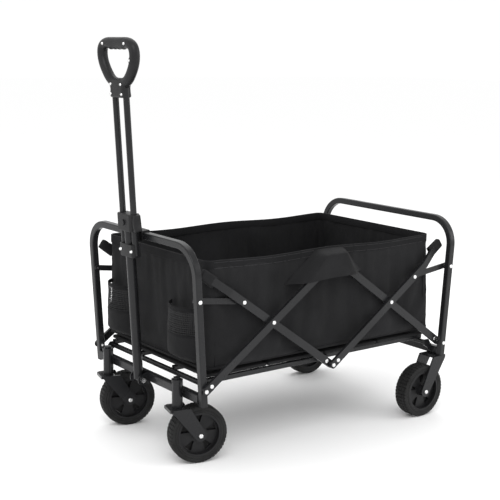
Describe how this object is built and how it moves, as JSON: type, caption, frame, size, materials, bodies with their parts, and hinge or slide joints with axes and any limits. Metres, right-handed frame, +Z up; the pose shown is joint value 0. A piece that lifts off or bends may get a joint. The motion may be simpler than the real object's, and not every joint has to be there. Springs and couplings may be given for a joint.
{
  "type": "folding wagon",
  "caption": "Folding camp wagon: steel end hoops, scissor-bar sides, cloth basket with cup pockets, tilting telescopic handle, front casters and fixed rear wheels.",
  "frame": {"origin": "on the ground under the middle of the whole wagon with its handle up", "axes": "+Z up; +X from the handle end to the rear; +Y to the far side"},
  "size_m": [0.95, 0.567, 1.0506],
  "materials": {
    "frame_paint": "satin charcoal powder coat",
    "bright_steel": "bright zinc-plated steel",
    "tyre": "matte black tread",
    "black_plastic": "fine-grained black plastic",
    "cloth": "matte black woven polyester"
  },
  "bodies": {
    "front_frame": {"front_frame_hoop": "frame_paint", "front_lower_tube": "frame_paint", "front_floor_brackets": "frame_paint", "front_post_rivets": "bright_steel", "caster_sleeves": "frame_paint", "handle_bracket": "frame_paint", "handle_bolt": "bright_steel", "handle_clip": "black_plastic", "basket": "cloth", "cup_pocket_near": "cloth", "cup_pocket_far": "cloth", "floor_mat": "cloth"},
    "front_outer_bars": {"front_outer_bar_near": "frame_paint", "front_outer_bar_far": "frame_paint", "front_outer_rivets": "bright_steel"},
    "front_inner_bars": {"front_inner_bar_near": "frame_paint", "front_inner_bar_far": "frame_paint", "front_inner_rivets": "bright_steel"},
    "rear_inner_bars": {"rear_inner_bar_near": "frame_paint", "rear_inner_bar_far": "frame_paint", "rear_inner_rivets": "bright_steel"},
    "rear_outer_bars": {"rear_outer_bar_near": "frame_paint", "rear_outer_bar_far": "frame_paint", "rear_outer_rivets": "bright_steel"},
    "rear_frame": {"rear_frame_hoop": "frame_paint", "rear_lower_tube": "frame_paint", "rear_floor_brackets": "frame_paint", "rear_post_rivets": "bright_steel", "fork_rear_near": "frame_paint", "fork_rear_far": "frame_paint", "rear_axles": "bright_steel"},
    "front_link_pair": {"front_links": "frame_paint"},
    "rear_link_pair": {"rear_links": "frame_paint"},
    "front_floor": {"front_floor_hinge_tube": "frame_paint", "front_floor_rails": "frame_paint"},
    "rear_floor": {"rear_floor_hinge_tube": "frame_paint", "rear_floor_rails": "frame_paint"},
    "handle": {"handle_tube": "frame_paint", "handle_collar": "black_plastic"},
    "handle_lock": {"lock_button": "black_plastic"},
    "handle_slide": {"slider_block": "black_plastic", "handle_rods": "frame_paint", "slider_bolts": "bright_steel", "grip": "black_plastic", "grip_screws": "bright_steel"},
    "caster_near": {"fork_front_near": "frame_paint", "caster_stem_front_near": "frame_paint", "axle_front_near": "bright_steel"},
    "caster_far": {"fork_front_far": "frame_paint", "caster_stem_front_far": "frame_paint", "axle_front_far": "bright_steel"},
    "wheel_front_near": {"tyre_front_near": "tyre", "hub_front_near": "black_plastic"},
    "wheel_front_far": {"tyre_front_far": "tyre", "hub_front_far": "black_plastic"},
    "wheel_rear_near": {"tyre_rear_near": "tyre", "hub_rear_near": "black_plastic"},
    "wheel_rear_far": {"tyre_rear_far": "tyre", "hub_rear_far": "black_plastic"}
  },
  "joints": [
    {"name": "fold", "type": "hinge", "parent": "front_frame", "child": "front_outer_bars", "pos_m": [-0.374, 0, 0.208], "axis": [0, -1, 0], "range_deg": [0, 40.8], "deforming": ["basket", "floor_mat"]},
    {"name": "front_cross", "type": "hinge", "parent": "front_outer_bars", "child": "front_inner_bars", "pos_m": [-0.17, 0, 0.352], "axis": [0, -1, 0], "range_deg": [-81.65, 0]},
    {"name": "top_centre", "type": "hinge", "parent": "front_outer_bars", "child": "rear_inner_bars", "pos_m": [0.034, 0, 0.496], "axis": [0, -1, 0], "range_deg": [-81.65, 0]},
    {"name": "rear_cross", "type": "hinge", "parent": "rear_inner_bars", "child": "rear_outer_bars", "pos_m": [0.238, 0, 0.352], "axis": [0, -1, 0], "range_deg": [0, 81.65]},
    {"name": "rear_foot", "type": "hinge", "parent": "rear_inner_bars", "child": "rear_frame", "pos_m": [0.442, 0, 0.208], "axis": [0, -1, 0], "range_deg": [0, 40.85]},
    {"name": "front_link", "type": "hinge", "parent": "front_frame", "child": "front_link_pair", "pos_m": [-0.38875, 0, 0.43], "axis": [0, -1, 0], "range_deg": [0, 75.45]},
    {"name": "rear_link", "type": "hinge", "parent": "rear_frame", "child": "rear_link_pair", "pos_m": [0.45675, 0, 0.43], "axis": [0, -1, 0], "range_deg": [-75.45, 0]},
    {"name": "front_floor_hinge", "type": "hinge", "parent": "front_frame", "child": "front_floor", "pos_m": [-0.342, 0, 0.206], "axis": [0, -1, 0], "range_deg": [0, 76.43]},
    {"name": "rear_floor_hinge", "type": "hinge", "parent": "rear_frame", "child": "rear_floor", "pos_m": [0.41, 0, 0.206], "axis": [0, -1, 0], "range_deg": [-76.43, 0]},
    {"name": "handle_tilt", "type": "hinge", "parent": "front_frame", "child": "handle", "pos_m": [-0.403, 0, 0.18], "axis": [0, -1, 0], "range_deg": [0, 95]},
    {"name": "handle_telescope", "type": "slide", "parent": "handle", "child": "handle_slide", "axis": [-0.0663, 0, 0.9978], "range_m": [-0.27, 0]},
    {"name": "lock_press", "type": "slide", "parent": "handle", "child": "handle_lock", "axis": [0.9978, 0, 0.0663], "range_m": [0, 0.002], "stiffness_N_per_m": 400},
    {"name": "caster_swivel_near", "type": "hinge", "parent": "front_frame", "child": "caster_near", "pos_m": [-0.3965, -0.171, 0.15], "axis": [0, 0, 1], "continuous": true},
    {"name": "caster_swivel_far", "type": "hinge", "parent": "front_frame", "child": "caster_far", "pos_m": [-0.3965, 0.171, 0.15], "axis": [0, 0, 1], "continuous": true},
    {"name": "wheel_spin_front_near", "type": "hinge", "parent": "caster_near", "child": "wheel_front_near", "pos_m": [-0.3441, -0.18406, 0.075], "axis": [0.2419, 0.9703, 0], "continuous": true},
    {"name": "wheel_spin_front_far", "type": "hinge", "parent": "caster_far", "child": "wheel_front_far", "pos_m": [-0.3441, 0.15794, 0.075], "axis": [0.2419, 0.9703, 0], "continuous": true},
    {"name": "wheel_spin_rear_near", "type": "hinge", "parent": "rear_frame", "child": "wheel_rear_near", "pos_m": [0.377, -0.25, 0.075], "axis": [0, 1, 0], "continuous": true},
    {"name": "wheel_spin_rear_far", "type": "hinge", "parent": "rear_frame", "child": "wheel_rear_far", "pos_m": [0.377, 0.25, 0.075], "axis": [0, 1, 0], "continuous": true}
  ],
  "couplings": [
    {"joint": "front_cross", "follows": "fold", "ratio": -2},
    {"joint": "top_centre", "follows": "fold", "ratio": -2},
    {"joint": "rear_cross", "follows": "fold", "ratio": 2},
    {"joint": "rear_foot", "follows": "fold", "ratio": 1},
    {"joint": "front_link", "follows": "fold", "ratio": 1.848},
    {"joint": "rear_link", "follows": "fold", "ratio": -1.848},
    {"joint": "front_floor_hinge", "follows": "fold", "ratio": 1.872},
    {"joint": "rear_floor_hinge", "follows": "fold", "ratio": -1.872}
  ]
}
